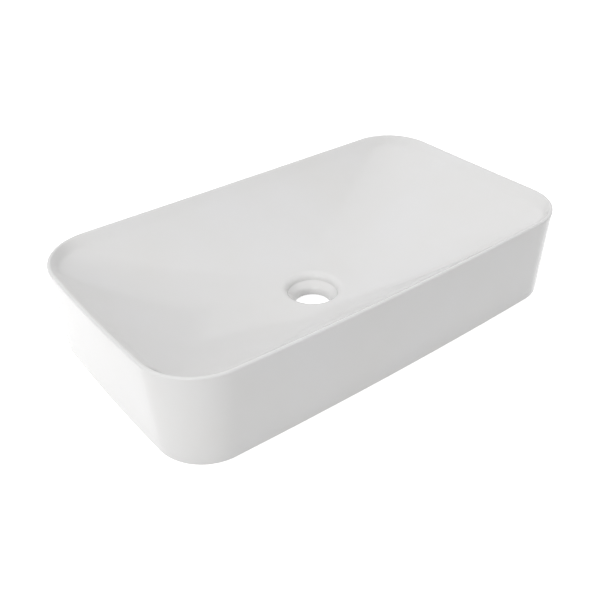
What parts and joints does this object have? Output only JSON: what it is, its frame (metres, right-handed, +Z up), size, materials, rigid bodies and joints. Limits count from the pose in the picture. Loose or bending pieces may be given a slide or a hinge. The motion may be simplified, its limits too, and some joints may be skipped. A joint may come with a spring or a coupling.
{
  "type": "countertop basin",
  "caption": "Rectangular countertop basin with rounded corners, leaning sides and a thin rolled rim; its dished bowl falls to an open waste hole, and it stands on thin pads under a hollow foot.",
  "frame": {"origin": "middle of the plane the pads rest on, straight below the waste hole's axis", "axes": "+X along the basin to its right end as seen from the front, +Y from front to back, +Z up"},
  "size_m": [0.5996, 0.3448, 0.1235],
  "materials": {
    "glazed_china": "gloss white glaze",
    "pad_rubber": "satin"
  },
  "bodies": {
    "root": {"basin_body": "glazed_china", "pad_front_left": "pad_rubber", "pad_front_right": "pad_rubber", "pad_back_left": "pad_rubber", "pad_back_right": "pad_rubber"}
  },
  "joints": []
}
